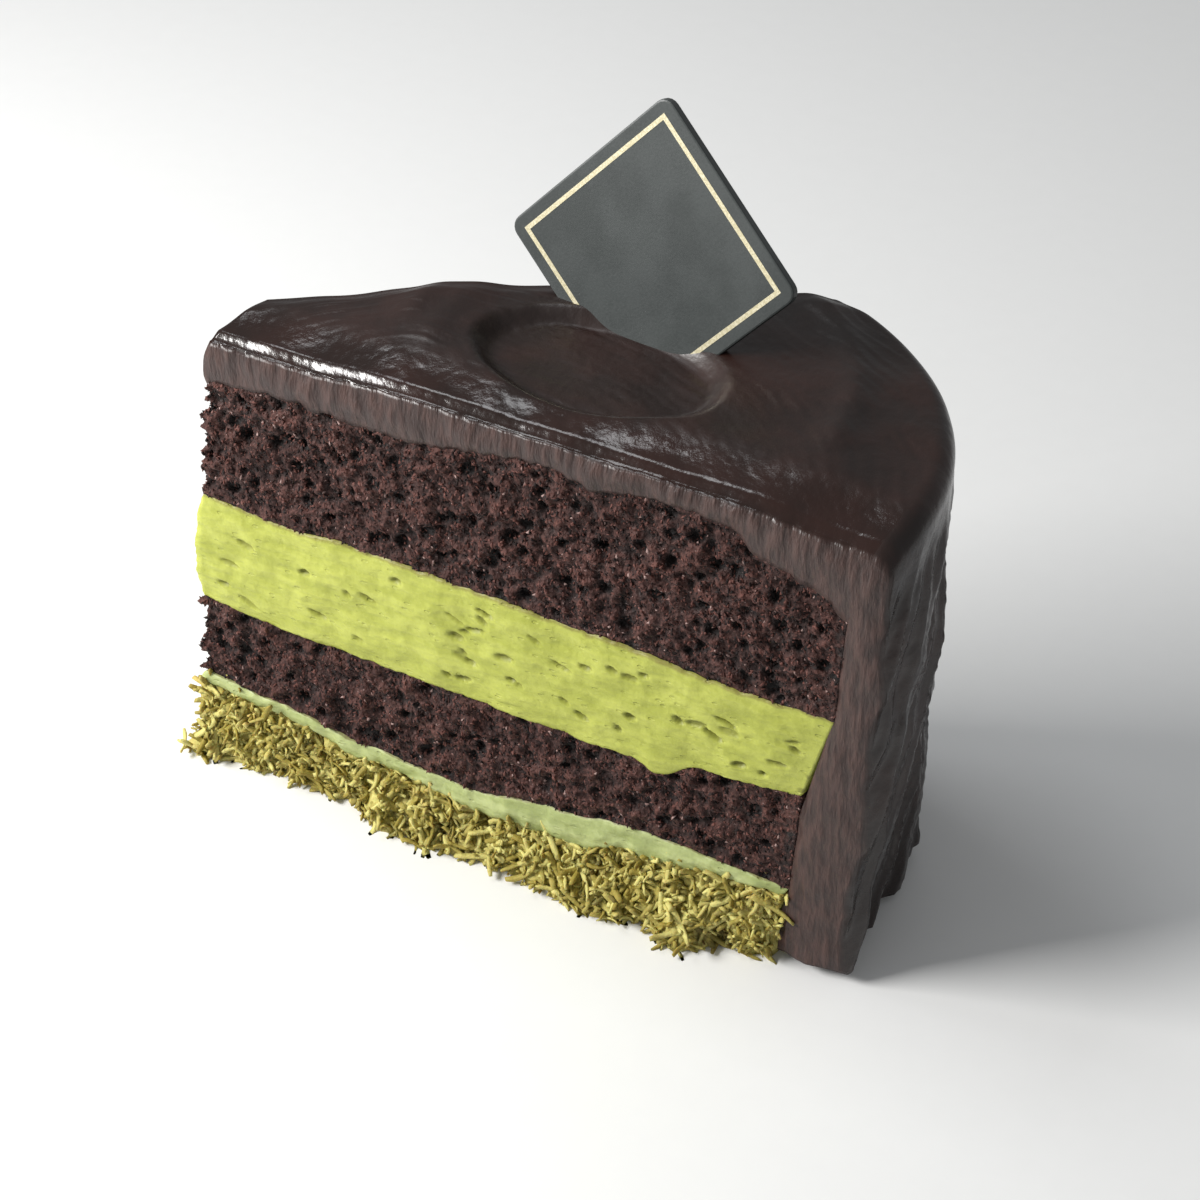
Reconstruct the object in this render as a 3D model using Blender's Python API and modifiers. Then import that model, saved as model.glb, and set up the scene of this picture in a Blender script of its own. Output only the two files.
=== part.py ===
# Slice of layered chocolate cake with a square plaque standing in its glaze.
# Sizes are in millimetres until a mesh is made. In the slice's own drawing the top of the tip is at
# x = 0, y = 0, the front cut runs along +X, the glazed side is round the +X end, and +Z is up.

import math
import random

import bmesh
import bpy
from mathutils import Matrix, Vector, noise

MM = 0.001
GAP = 0.4                        # clear space between pieces that touch

# Plan of the slice
ARC_CENTRE = Vector((61.6, 8.6))
ARC_RADIUS = 36.2                # glazed outer side
ARC_END = math.radians(74)       # where the glazed side meets the back cut
TIP_BACK = Vector((3.2, 9.0))    # the blunt tip runs from the front cut to here
BACK_BOW = 3.2                   # the back cut swells outwards in the middle
TIP_LEAN = 7.0                   # the foot of the tip stands out this far past its top
BACK_DIRECTION = math.radians(27)
FOOTPRINT_CENTRE = Vector((45.0, 19.03))

# Heights
CUT_EDGE_HEIGHT = 75.6           # top edge of the front cut
CROWN = 1.7                      # the top stands this much higher away from its edges
BEVEL_WIDTH = 9.0                # slope between the front cut and the crown
RIM_RADIUS = 2.8                 # between the top and the glazed side
FOOT_HEIGHT = 1.9                # lower edge of the glaze above the surface the slice rests on

# Folds that the spatula left in the glazed side
SIDE_LENGTH = 54.0
FOLD_SPACING = 9.0
FOLD_SLANT = 0.34
FOLD_DEPTH = 1.2

# Surfaces between the layers: height along the front cut, glaze thickness at the outer side
GLAZE_FLOOR = {"heights": [(-3, 66.5), (8, 67.9), (28, 67.7), (50, 70.9), (56, 69.5), (64, 71.0),
                           (75, 70.7), (80, 67.0), (86, 65.8), (92, 62.0)], "side": 5.4}
CREAM_TOP = {"heights": [(-5, 47.2), (8, 46.4), (20, 46.9), (60, 46.1), (78, 45.0), (92, 45.6)],
             "side": 6.2}
CREAM_FOOT = {"heights": [(-7, 28.7), (8, 27.5), (62, 27.2), (66, 26.0), (72, 29.6), (90, 31.2)],
              "side": 10.0}
THIN_TOP = {"heights": [(-8, 14.3), (6, 13.1), (20, 11.2), (36, 10.2), (50, 12.4), (64, 14.4),
                        (88, 13.8)], "side": 11.0}
THIN_FOOT = {"heights": [(-8, 12.4), (6, 10.8), (20, 8.6), (38, 6.6), (54, 6.8), (60, 9.6),
                         (88, 12.4)], "side": 11.8}
FLOOR = {"heights": [(-8, 0.0), (88, 0.0)], "side": 12.8}

# Crunchy base: how far its foot stands out in front of the cut
BASE_SPREAD = [(-4, 2.2), (9, 1.4), (15, 1.4), (25, 4.2), (48, 3.2), (57, 4.9), (66, 3.4), (72, 5.3),
               (78, 1.8)]
SHRED_COUNT = 26
SHRED_WIDTH = 1.3
SHRED_THICKNESS = 1.0

# Scooped place in the top, in front of the plaque
SCOOP_CENTRE = Vector((49.0, 15.5))
SCOOP_SIZE = Vector((16.5, 9.5))
SCOOP_DEPTH = 1.9

# Spatula crests in the top
RIM_CREST_CENTRE = Vector((52.0, 15.0))
RIM_CREST_RADIUS = 30.0
LEFT_CREST_X = 26.5
CREST_HEIGHT = 0.7

# Gold flecks lie round the edge of the scoop
FLECK_COUNT = 10
FLECK_LENGTH = 4.2
FLECK_WIDTH = 1.1
FLECK_RISE = 0.22

# Plaque
PLAQUE_SIDE = 30.2
PLAQUE_THICKNESS = 1.4
PLAQUE_CORNER = 1.7
PLAQUE_CENTRE = Vector((50.3, 27.6, 85.9))
PLAQUE_TURN = (math.radians(-4.5), math.radians(-16.4), math.radians(-4.4))

LAYER_ROWS = 34                  # cells along the front cut
LAYER_DEPTH_ROWS = 6


def smooth(value):
    value = min(max(value, 0.0), 1.0)
    return value * value * (3 - 2 * value)


def along(points, x):
    """Height at x on an easy curve through the points."""
    if x <= points[0][0]:
        return points[0][1]
    for (x0, z0), (x1, z1) in zip(points, points[1:]):
        if x <= x1:
            return z0 + (z1 - z0) * smooth((x - x0) / (x1 - x0))
    return points[-1][1]


def even(count):
    return [step / count for step in range(1, count)]


def tip_shift(height):
    return -TIP_LEAN * (1 - (height / CUT_EDGE_HEIGHT) ** 1.8) if height < CUT_EDGE_HEIGHT else 0.0


# Plan: a patch between the front cut, the back cut, the tip and the glazed side

def side_point(v, side):
    """Point on the outer side, moved inwards by the glaze thickness towards the tip."""
    start = -math.asin(ARC_CENTRE.y / ARC_RADIUS)
    angle = start + v * (ARC_END - start)
    inwards = v * BACK_DIRECTION
    point = ARC_CENTRE + ARC_RADIUS * Vector((math.cos(angle), math.sin(angle)))
    return point - side * Vector((math.cos(inwards), math.sin(inwards)))


def back_y(x, shift):
    start = TIP_BACK.x + shift
    corner = side_point(1, 0)
    part = (x - start) / (corner.x - start)
    return TIP_BACK.y + part * (corner.y - TIP_BACK.y) + BACK_BOW * 4 * part * (1 - part)


def plan(u, v, side, shift):
    """Point of the patch: u from the tip to the glazed side, v from the front cut to the back cut."""
    corner = side_point(1, side)
    corner.y = back_y(corner.x, shift)
    front_end = side_point(0, side)
    back_x = TIP_BACK.x + shift + u * (corner.x - TIP_BACK.x - shift)
    front = Vector((shift + u * (front_end.x - shift), 0))
    back = Vector((back_x, back_y(back_x, shift)))
    tip = Vector((shift + v * TIP_BACK.x, v * TIP_BACK.y))
    outer = side_point(v, side)
    outer.y += v * (corner.y - side_point(1, side).y)
    tip_corners = (1 - v) * Vector((shift, 0)) + v * Vector((TIP_BACK.x + shift, TIP_BACK.y))
    outer_corners = (1 - v) * front_end + v * corner
    edges = (1 - v) * front + v * back + (1 - u) * tip + u * outer
    return edges - (1 - u) * tip_corners - u * outer_corners


def level(surface, x, y):
    """Height of a surface between layers: it calms down away from the front cut."""
    heights = surface["heights"]
    if heights[0][1] == 0:
        return 0.0
    mean = sum(z for _, z in heights) / len(heights)
    calm = 0.65 * smooth(y / 22)
    sway = 0.45 * math.sin(x / 11 + y / 8) * smooth(y / 22)
    return mean + (along(heights, x) - mean) * (1 - calm) + sway


def sheet_point(surface, u, v, inwards=0.0):
    """Point of a surface between layers, kept clear of the glaze by the distance inwards."""
    mean = sum(z for _, z in surface["heights"]) / len(surface["heights"])
    point = plan(u, v, surface["side"] + inwards, tip_shift(mean))
    return Vector((point.x, point.y, level(surface, point.x, point.y)))


def top_height(x, y, to_back):
    """Height of the glaze: crowned, bevelled to the front cut, scooped in front of the plaque."""
    z = CUT_EDGE_HEIGHT + CROWN * smooth(y / BEVEL_WIDTH) - 0.6 * (1 - smooth(to_back / 3.0))
    z -= 1.0 * (1 - smooth(y / 1.6))
    across = Vector((x, y)) - SCOOP_CENTRE
    reach = math.hypot(across.x / SCOOP_SIZE.x, across.y / SCOOP_SIZE.y)
    z -= SCOOP_DEPTH * smooth((1.12 - reach) / 0.24)
    crest = (Vector((x, y)) - RIM_CREST_CENTRE).length - RIM_CREST_RADIUS
    fade = smooth((y - 8) / 8)
    z += fade * CREST_HEIGHT * math.exp(-(crest / 2.2) ** 2) - 0.9 * smooth(crest / 12)
    z += CREST_HEIGHT * math.exp(-((x - LEFT_CREST_X) / 3.0) ** 2) * smooth((y - 6) / 6)
    return z + 0.25 * noise.noise(Vector((x / 9, y / 5, 1.7)))


# Making meshes

def new_object(name, mesh, material):
    mesh.materials.append(material)
    mesh.shade_smooth()
    piece = bpy.data.objects.new(name, mesh)
    slice_parts.objects.link(piece)
    return piece


def principled(name, colour, roughness, metallic=0.0):
    material = bpy.data.materials.new(name)
    material.use_nodes = True
    shader = material.node_tree.nodes["Principled BSDF"]
    shader.inputs["Base Color"].default_value = (*colour, 1)
    shader.inputs["Roughness"].default_value = roughness
    shader.inputs["Metallic"].default_value = metallic
    return material


def placed(point):
    """The slice's drawing, moved so that the middle of its footprint is the origin, in metres."""
    return Vector((point.x - FOOTPRINT_CENTRE.x, point.y - FOOTPRINT_CENTRE.y, point.z)) * MM


def mapped_box(cuts, place):
    """A cube cut into cells along its three axes, each corner then moved by the function place."""
    bm = bmesh.new()
    bmesh.ops.create_cube(bm, size=1, matrix=Matrix.Translation((0.5, 0.5, 0.5)))
    for axis, places in enumerate(cuts):
        normal = Vector((0, 0, 0))
        normal[axis] = 1
        for at in places:
            bmesh.ops.bisect_plane(bm, geom=bm.verts[:] + bm.edges[:] + bm.faces[:],
                                   plane_co=normal * at, plane_no=normal)
    for vert in bm.verts:
        vert.co = placed(place(*vert.co))
    bmesh.ops.recalc_face_normals(bm, faces=bm.faces[:])
    mesh = bpy.data.meshes.new("cells")
    bm.to_mesh(mesh)
    bm.free()
    return mesh


def roughened(point, u, v, depth, grain):
    """Moves a point of a cut face in or out by a crumbly relief that dies out where the glaze begins."""
    relief = depth * noise.fractal(point / grain, 0.8, 2.0, 3) * smooth((1 - u) * 25)
    if v < 0.001:
        point.y += relief
    if v > 0.999:
        point += relief * Vector((0.45, -0.89, 0))
    if u < 0.001:
        point.x += relief
    return point


def layer(name, lower, upper, rows_up, depth, grain, material, spread=None, bulge=0.0):
    """One layer of the slice, from the surface under it to the surface over it."""
    def place(u, v, w):
        bottom = sheet_point(lower, u, v, GAP)
        top = sheet_point(upper, u, v, GAP)
        if lower is not FLOOR:
            bottom.z += GAP / 2
        top.z -= GAP / 2
        point = bottom.lerp(top, w)
        middle = 4 * w * (1 - w) * smooth((1 - u) * 12)
        if v < 0.001:
            point.y -= bulge * middle
            if spread:
                point.y -= along(spread, point.x) * (1 - smooth(w * 1.25)) + 0.5 * middle
        if v > 0.999:
            point += bulge * middle * Vector((-0.45, 0.89, 0))
        if u < 0.001:
            point.x -= bulge * middle
        return roughened(point, u, v, depth, grain)

    cells = mapped_box((even(LAYER_ROWS), even(LAYER_DEPTH_ROWS), even(rows_up)), place)
    return new_object(name, cells, material)


# Glaze: a thick shell over the top and down the outer side

TOP_CELLS = 26
RIM_CELLS = 4
SIDE_CELLS = 12
GLAZE_PATH = TOP_CELLS + RIM_CELLS + SIDE_CELLS
WALL_LEVELS = [(62.0, 5.4), (46.2, 6.2), (28.4, 10.0), (12.8, 11.0), (9.5, 11.8), (0.0, 12.2)]


def wall_inset(height):
    for (z1, inset1), (z0, inset0) in zip(WALL_LEVELS, WALL_LEVELS[1:]):
        if height >= z0:
            return inset0 + (inset1 - inset0) * min((height - z0) / (z1 - z0), 1)
    return WALL_LEVELS[-1][1]


def side_wrinkles(v, z):
    """Spatula folds in the glazed side, sharp on their crests and climbing towards the back."""
    climb = v * SIDE_LENGTH - FOLD_SLANT * z
    fold = abs(math.sin(climb / FOLD_SPACING * math.pi)) + 0.5 * abs(math.sin(climb * 0.93 + z * 0.07))
    return FOLD_DEPTH * (0.9 - fold) + 1.0 * noise.noise(Vector((v * 9, z / 9, 4.1)))


def side_tuck(v, z):
    """The glazed side draws in towards its foot, most of all a little way round from the front cut."""
    depth = 2.8 + 2.0 * smooth(v / 0.12) - 4.4 * smooth((v - 0.22) / 0.25)
    return depth * (1 - z / CUT_EDGE_HEIGHT) ** 2.6


def glaze_outside(path, v):
    if path <= TOP_CELLS:
        point = plan(path / TOP_CELLS, v, RIM_RADIUS, 0)
        to_back = back_y(point.x, 0) - point.y
        return Vector((point.x, point.y, top_height(point.x, point.y, to_back)))
    rim = plan(1, v, RIM_RADIUS, 0)
    rim_height = top_height(rim.x, rim.y, back_y(rim.x, 0) - rim.y)
    if path <= TOP_CELLS + RIM_CELLS:
        turn = (path - TOP_CELLS) / RIM_CELLS * math.pi / 2
        point = plan(1, v, RIM_RADIUS * (1 - math.sin(turn)), 0)
        return Vector((point.x, point.y, rim_height - RIM_RADIUS * (1 - math.cos(turn))))
    part = (path - TOP_CELLS - RIM_CELLS) / SIDE_CELLS
    z = (rim_height - RIM_RADIUS) * (1 - part) + (FOOT_HEIGHT + 0.7 * math.sin(v * 17)) * part
    point = plan(1, v, side_tuck(v, z) - side_wrinkles(v, z) * smooth(part * 6), 0)
    return Vector((point.x, point.y, z))


def glaze_inside(path, v):
    if path <= TOP_CELLS:
        point = sheet_point(GLAZE_FLOOR, path / TOP_CELLS, v)
        point.z += GAP
        return point
    corner = sheet_point(GLAZE_FLOOR, 1, v)
    part = (path - TOP_CELLS) / (RIM_CELLS + SIDE_CELLS)
    z = corner.z * (1 - part) + FOOT_HEIGHT * part
    point = plan(1, v, wall_inset(z), tip_shift(z))
    return Vector((point.x, point.y, z + GAP * (1 - part)))


def glaze_place(p, v, w):
    path = p * GLAZE_PATH
    outside = glaze_outside(path, v)
    point = glaze_inside(path, v).lerp(outside, w)
    if v < 0.001:
        point.y -= 0.5 * math.sin(w * math.pi) * (1 + noise.noise(point / 6))
    if p < 0.001:
        point.x -= 0.6 * math.sin(w * math.pi)
    return point


def fleck(number, draw):
    """One gold fleck: a thin crinkled leaf lying on the rim of the scoop."""
    angle = math.radians(165 + 205 * number / (FLECK_COUNT - 1))
    ring = 1.0 + draw.uniform(-0.16, 0.02)
    reach = Vector((math.cos(angle) * SCOOP_SIZE.x, math.sin(angle) * SCOOP_SIZE.y))
    centre = SCOOP_CENTRE + ring * Vector((reach.x, reach.y * 0.7))
    turn = math.atan2(math.cos(angle) * SCOOP_SIZE.y, -math.sin(angle) * SCOOP_SIZE.x)
    turn += draw.uniform(-0.5, 0.5)
    length = FLECK_LENGTH * draw.uniform(0.7, 1.1)
    width = FLECK_WIDTH * draw.uniform(0.7, 1.2)

    def place(u, v, w):
        pinch = 1 - 0.75 * abs(2 * u - 1) ** 1.5
        run = Vector(((u - 0.5) * length, (v - 0.5) * width * pinch + 0.35 * math.sin(u * 5)))
        run.rotate(Matrix.Rotation(turn, 2))
        at = centre + run
        surface = top_height(at.x, at.y, back_y(at.x, 0) - at.y)
        return Vector((at.x, at.y, surface - 0.6 + w * (0.6 + FLECK_RISE * pinch)))

    return mapped_box((even(3), (), ()), place)


def join_pieces(piece, meshes):
    """Fuses small pieces to the piece with one Boolean union, then removes them."""
    helpers = bpy.data.collections.new("fused")
    for mesh in meshes:
        helpers.objects.link(bpy.data.objects.new("small", mesh))
    bpy.context.scene.collection.children.link(helpers)
    union = piece.modifiers.new("small pieces", "BOOLEAN")
    union.operand_type = "COLLECTION"
    union.collection = helpers
    union.operation = "UNION"
    bpy.context.view_layer.update()
    graph = bpy.context.evaluated_depsgraph_get()
    fused = bpy.data.meshes.new_from_object(piece.evaluated_get(graph))
    piece.modifiers.clear()
    piece.data = fused
    for helper in list(helpers.objects):
        bpy.data.objects.remove(helper)
    bpy.data.collections.remove(helpers)
    fused.shade_smooth()


# Plaque: a thin square plate with rounded corners that stands on one of them

def plaque_mesh(extra):
    """The plate, larger all round by extra."""
    bm = bmesh.new()
    side = PLAQUE_SIDE + 2 * extra
    thickness = PLAQUE_THICKNESS + 2 * extra
    bmesh.ops.create_cube(bm, size=1, matrix=Matrix.Diagonal((side, thickness, side, 1)))
    short_edges = [edge for edge in bm.edges if abs(edge.verts[0].co.y - edge.verts[1].co.y) > 0.1]
    bmesh.ops.bevel(bm, geom=short_edges, offset=PLAQUE_CORNER, segments=5, profile=0.5, affect="EDGES")
    turn_z, turn_x, turn_y = PLAQUE_TURN
    on_corner = Matrix.Rotation(turn_y + math.radians(45), 4, "Y")
    stand = (Matrix.Translation(PLAQUE_CENTRE) @ Matrix.Rotation(turn_z, 4, "Z")
             @ Matrix.Rotation(turn_x, 4, "X") @ on_corner)
    for vert in bm.verts:
        vert.co = placed(stand @ vert.co)
    mesh = bpy.data.meshes.new("plate")
    bm.to_mesh(mesh)
    bm.free()
    return mesh


def make_plaque():
    satin = principled("dark satin plaque", (0.03, 0.035, 0.035), 0.4)
    plaque = new_object("plaque", plaque_mesh(0), satin)
    rounding = plaque.modifiers.new("soft edges", "BEVEL")
    rounding.width = 0.25 * MM
    rounding.segments = 2
    rounding.limit_method = "ANGLE"
    return plaque


def make_glaze():
    rows = [0.03, 0.07, 0.12, 0.19, 0.27, 0.36, 0.46, 0.56, 0.66, 0.76, 0.85, 0.92, 0.97]
    cells = mapped_box((even(GLAZE_PATH), rows, even(3)), glaze_place)
    chocolate = principled("dark chocolate glaze", (0.02, 0.009, 0.006), 0.2)
    glaze = new_object("glaze", cells, chocolate)
    draw = random.Random(4)
    join_pieces(glaze, [fleck(number, draw) for number in range(FLECK_COUNT)])
    cut_slot(glaze)


def cut_slot(piece):
    """The plaque is pushed through the glaze into the sponge."""
    cutter = bpy.data.objects.get("plaque slot")
    if cutter is None:
        cutter = bpy.data.objects.new("plaque slot", plaque_mesh(GAP))
        cutter.hide_render = True
        cutter.display_type = "WIRE"
        cutters.objects.link(cutter)
    slot = piece.modifiers.new("plaque slot", "BOOLEAN")
    slot.object = cutter
    slot.operation = "DIFFERENCE"


# Crunchy base with shreds standing out of its cut faces

def shred(number, draw):
    """A curled strip of pastry that sticks out of the front cut, the tip or the back cut."""
    face = number % 3
    run = draw.uniform(0.05, 0.95)
    if face == 2:
        centre = sheet_point(FLOOR, run * 0.84 + 0.04, 1)
        outwards = Vector((-0.45, 0.89, 0))
    elif number % 9 == 1:
        centre = sheet_point(FLOOR, 0, run)
        outwards = Vector((-0.9, 0.3, 0))
    else:
        centre = sheet_point(FLOOR, run * 0.87 + 0.03, 0)
        centre.y -= 0.45 * along(BASE_SPREAD, centre.x)
        outwards = Vector((0, -1, 0))
    roof = level(THIN_FOOT, centre.x, max(centre.y, 0))
    centre.z = 2.4 + (roof - 5.6) * draw.random()
    length = draw.uniform(4.5, 7.5)
    tilt = draw.uniform(-0.45, 0.45)
    sideways = Vector((-outwards.y, outwards.x, 0)).normalized()
    direction = (math.cos(tilt) * sideways + math.sin(tilt) * Vector((0, 0, 0.5))).normalized()

    def place(u, v, w):
        curl = 0.5 * math.sin(u * math.pi)
        point = centre + direction * (u - 0.5) * length
        point += outwards.normalized() * (curl + (w - 0.35) * SHRED_THICKNESS)
        return point + Vector((0, 0, (v - 0.5) * SHRED_WIDTH))

    return mapped_box((even(3), (), ()), place)


def make_base():
    crunch = principled("pastry crunch", (0.4, 0.36, 0.1), 0.85)
    base = layer("base", FLOOR, THIN_FOOT, 5, 1.5, 4.2, crunch, BASE_SPREAD)
    draw = random.Random(11)
    join_pieces(base, [shred(number, draw) for number in range(SHRED_COUNT)])


def make_layers():
    sponge = principled("chocolate sponge", (0.018, 0.007, 0.005), 0.8)
    green = principled("green cream", (0.39, 0.45, 0.09), 0.45)
    pale = principled("pale green cream", (0.4, 0.46, 0.2), 0.4)
    cut_slot(layer("upper_sponge", CREAM_TOP, GLAZE_FLOOR, 8, 1.1, 3.0, sponge))
    layer("lower_sponge", THIN_TOP, CREAM_FOOT, 6, 1.0, 3.0, sponge.copy())
    layer("cream", CREAM_FOOT, CREAM_TOP, 6, 0.35, 7.0, green, bulge=0.6)
    layer("thin_cream", THIN_FOOT, THIN_TOP, 2, 0.4, 5.0, pale, bulge=0.3)


for leftover in list(bpy.data.objects):
    bpy.data.objects.remove(leftover, do_unlink=True)

slice_parts = bpy.data.collections.new("chocolate cake slice")
bpy.context.scene.collection.children.link(slice_parts)
cutters = bpy.data.collections.new("cutters")
bpy.context.scene.collection.children.link(cutters)

make_layers()
make_base()
make_glaze()
make_plaque()
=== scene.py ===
# Slice of layered chocolate cake, dressed round its solids.
# Sizes are millimetres in the slice's own drawing: the top of the tip is at x = 0, y = 0, the front cut
# runs along +X, the glazed side goes round the +X end, and +Z is up. inFrame() turns them into metres.

import math

import bpy
import numpy as np
from mathutils import Euler, Matrix, Vector, noise


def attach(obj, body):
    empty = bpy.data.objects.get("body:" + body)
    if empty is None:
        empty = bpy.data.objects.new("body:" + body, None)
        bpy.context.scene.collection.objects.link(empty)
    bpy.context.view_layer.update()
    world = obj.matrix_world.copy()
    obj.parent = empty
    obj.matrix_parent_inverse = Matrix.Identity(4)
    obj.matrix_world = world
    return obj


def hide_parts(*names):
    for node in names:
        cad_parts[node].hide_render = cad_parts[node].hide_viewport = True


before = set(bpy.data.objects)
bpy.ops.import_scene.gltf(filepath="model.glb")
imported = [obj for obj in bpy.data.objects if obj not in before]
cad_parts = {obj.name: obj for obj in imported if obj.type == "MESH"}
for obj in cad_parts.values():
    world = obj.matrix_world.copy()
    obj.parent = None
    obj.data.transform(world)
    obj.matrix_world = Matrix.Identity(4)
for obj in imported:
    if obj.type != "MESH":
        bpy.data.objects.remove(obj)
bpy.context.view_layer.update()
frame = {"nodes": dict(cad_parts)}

mm = 0.001

cakePlan = {
    "arcCentre": np.array([61.6, 8.6]),
    "arcRadius": 36.2,               # glazed side
    "arcEnd": math.radians(74),
    "tipBack": np.array([3.2, 9.0]),
    "backBow": 3.2,
    "tipLean": 7.0,                  # the foot of the tip stands out this far
    "backDirection": math.radians(27),
    "footprintCentre": np.array([45.0, 19.03]),
}

cakeTop = {
    "cutEdge": 75.6,
    "crown": 1.7,
    "bevelWidth": 9.0,
    "rimRadius": 2.8,
    "footHeight": 1.9,
    "scoopCentre": np.array([49.0, 15.5]),
    "scoopSize": np.array([16.5, 9.5]),
    "scoopDepth": 1.9,
    "rimCrestCentre": np.array([52.0, 15.0]),
    "rimCrestRadius": 30.0,
    "leftCrestX": 26.5,
    "crestHeight": 0.7,
}

# surfaces between the layers: height along the front cut, glaze thickness at the outer side
seams = {
    "glazeFloor": {"heights": [(-3, 66.5), (8, 67.9), (28, 67.7), (50, 70.9), (56, 69.5), (64, 71.0),
                               (75, 70.7), (80, 67.0), (86, 65.8), (92, 62.0)], "side": 5.4, "ragged": 0.55},
    "creamTop": {"heights": [(-5, 47.2), (8, 46.4), (20, 46.9), (60, 46.1), (78, 45.0), (92, 45.6)],
                 "side": 6.2, "ragged": 0.35},
    "creamFoot": {"heights": [(-7, 28.7), (8, 27.5), (62, 27.2), (66, 26.0), (72, 29.6), (90, 31.2)],
                  "side": 10.0, "ragged": 0.3},
    "thinTop": {"heights": [(-8, 14.3), (6, 13.1), (20, 11.2), (36, 10.2), (50, 12.4), (64, 14.4),
                            (88, 13.8)], "side": 11.0, "ragged": 0.3},
    "thinFoot": {"heights": [(-8, 12.4), (6, 10.8), (20, 8.6), (38, 6.6), (54, 6.8), (60, 9.6),
                             (88, 12.4)], "side": 11.8, "ragged": 0.5},
    "floor": {"heights": [(-8, 0.0), (88, 0.0)], "side": 12.8, "ragged": 0.0},
}

backOut = np.array([-0.45, 0.89, 0.0])       # outwards from the back cut


# Camera and light, before anything is made

cameraSet = {
    "azimuth": math.radians(28.12),
    "elevation": math.radians(39.5),
    "distance": 0.388,
    "target": np.array([47.5, 18.63, 34.96]),
    "lens": 85.0,
}


def directionTo(azimuth, elevation):
    # azimuth 0 stands in front of the cut and looks along +Y
    return Vector((math.sin(azimuth) * math.cos(elevation), -math.cos(azimuth) * math.cos(elevation),
                   math.sin(elevation)))


def makeCamera():
    target = Vector((cameraSet["target"] - [*cakePlan["footprintCentre"], 0]) * mm)
    back = directionTo(cameraSet["azimuth"], cameraSet["elevation"])
    cameraData = bpy.data.cameras.new("camera")
    cameraData.lens = cameraSet["lens"]
    cameraData.sensor_width = 36
    cameraData.clip_start = 0.01
    camera = bpy.data.objects.new("camera", cameraData)
    camera.location = target + back * cameraSet["distance"]
    camera.rotation_euler = (-back).to_track_quat("-Z", "Y").to_euler()
    bpy.context.scene.collection.objects.link(camera)
    bpy.context.scene.camera = camera


lightSet = {
    # direction the light comes from: degrees from the camera's azimuth 0, height; distance and size in metres
    "key": {"from": (-54, 33), "distance": 0.46, "size": (0.2, 0.11), "power": 2.9, "colour": (1, 0.985, 0.965)},
    "above": {"from": (-95, 66), "distance": 0.6, "size": (0.2, 0.16), "power": 0.7, "colour": (0.96, 0.98, 1)},
    "worldStrength": 0.3,
}


def makeLights():
    for name in ("key", "above"):
        wanted = lightSet[name]
        back = directionTo(*(math.radians(angle) for angle in wanted["from"]))
        lamp = bpy.data.lights.new(name, "AREA")
        lamp.shape = "RECTANGLE"
        lamp.size, lamp.size_y = wanted["size"]
        lamp.energy = wanted["power"]
        lamp.color = wanted["colour"]
        lampObject = bpy.data.objects.new(name, lamp)
        lampObject.location = back * wanted["distance"] + Vector((0.01, 0, 0.03))
        lampObject.rotation_euler = (-back).to_track_quat("-Z", "Y").to_euler()
        bpy.context.scene.collection.objects.link(lampObject)
    world = bpy.data.worlds.new("studio")
    world.use_nodes = True
    world.node_tree.nodes["Background"].inputs["Color"].default_value = (0.97, 0.985, 1, 1)
    world.node_tree.nodes["Background"].inputs["Strength"].default_value = lightSet["worldStrength"]
    bpy.context.scene.world = world
    bpy.context.scene.view_settings.view_transform = "Standard"


# Nodes: sockets that can be calculated with, for materials and for geometry

class Wire:
    def __init__(self, sheet, socket):
        self.sheet = sheet
        self.socket = socket

    def __add__(self, other):
        return self.sheet.maths("ADD", self, other)

    def __radd__(self, other):
        return self.sheet.maths("ADD", other, self)

    def __sub__(self, other):
        return self.sheet.maths("SUBTRACT", self, other)

    def __rsub__(self, other):
        return self.sheet.maths("SUBTRACT", other, self)

    def __mul__(self, other):
        return self.sheet.maths("MULTIPLY", self, other)

    def __rmul__(self, other):
        return self.sheet.maths("MULTIPLY", other, self)

    def __truediv__(self, other):
        return self.sheet.maths("DIVIDE", self, other)

    def __rtruediv__(self, other):
        return self.sheet.maths("DIVIDE", other, self)

    def __pow__(self, other):
        return self.sheet.maths("POWER", self, other)


class Sheet:
    def __init__(self, tree):
        self.tree = tree
        self.maker = "GeometryNode" if tree.bl_idname == "GeometryNodeTree" else "ShaderNode"

    def add(self, kind, settings=None, values=None, out=0):
        # one node: its settings first, then the values or wires of its sockets, by name or number
        node = self.tree.nodes.new(kind)
        for setting, value in (settings or {}).items():
            if setting == "stops":
                for number, (position, shade) in enumerate(value):
                    if number < 2:
                        stop = node.color_ramp.elements[number]
                        stop.position = position
                    else:
                        stop = node.color_ramp.elements.new(position)
                    stop.color = (shade, shade, shade, 1) if isinstance(shade, (int, float)) else (*shade, 1)
            else:
                setattr(node, setting, value)
        for socket, value in (values or {}).items():
            if isinstance(value, Wire):
                self.tree.links.new(value.socket, node.inputs[socket])
            else:
                node.inputs[socket].default_value = value
        return Wire(self, node.outputs[out])

    def maths(self, operation, first, second=0.0):
        return self.add("ShaderNodeMath", {"operation": operation}, {0: first, 1: second})

    def between(self, value, low, high):
        # 0 at low, 1 at high, eased
        return self.add("ShaderNodeMapRange", {"interpolation_type": "SMOOTHSTEP"},
                        {0: value, 1: low, 2: high, 3: 0.0, 4: 1.0})

    def mixColour(self, factor, first, second, blend="MIX"):
        first = (*first, 1) if isinstance(first, tuple) else first
        second = (*second, 1) if isinstance(second, tuple) else second
        return self.add("ShaderNodeMix", {"data_type": "RGBA", "blend_type": blend},
                        {0: factor, 6: first, 7: second}, 2)


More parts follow.
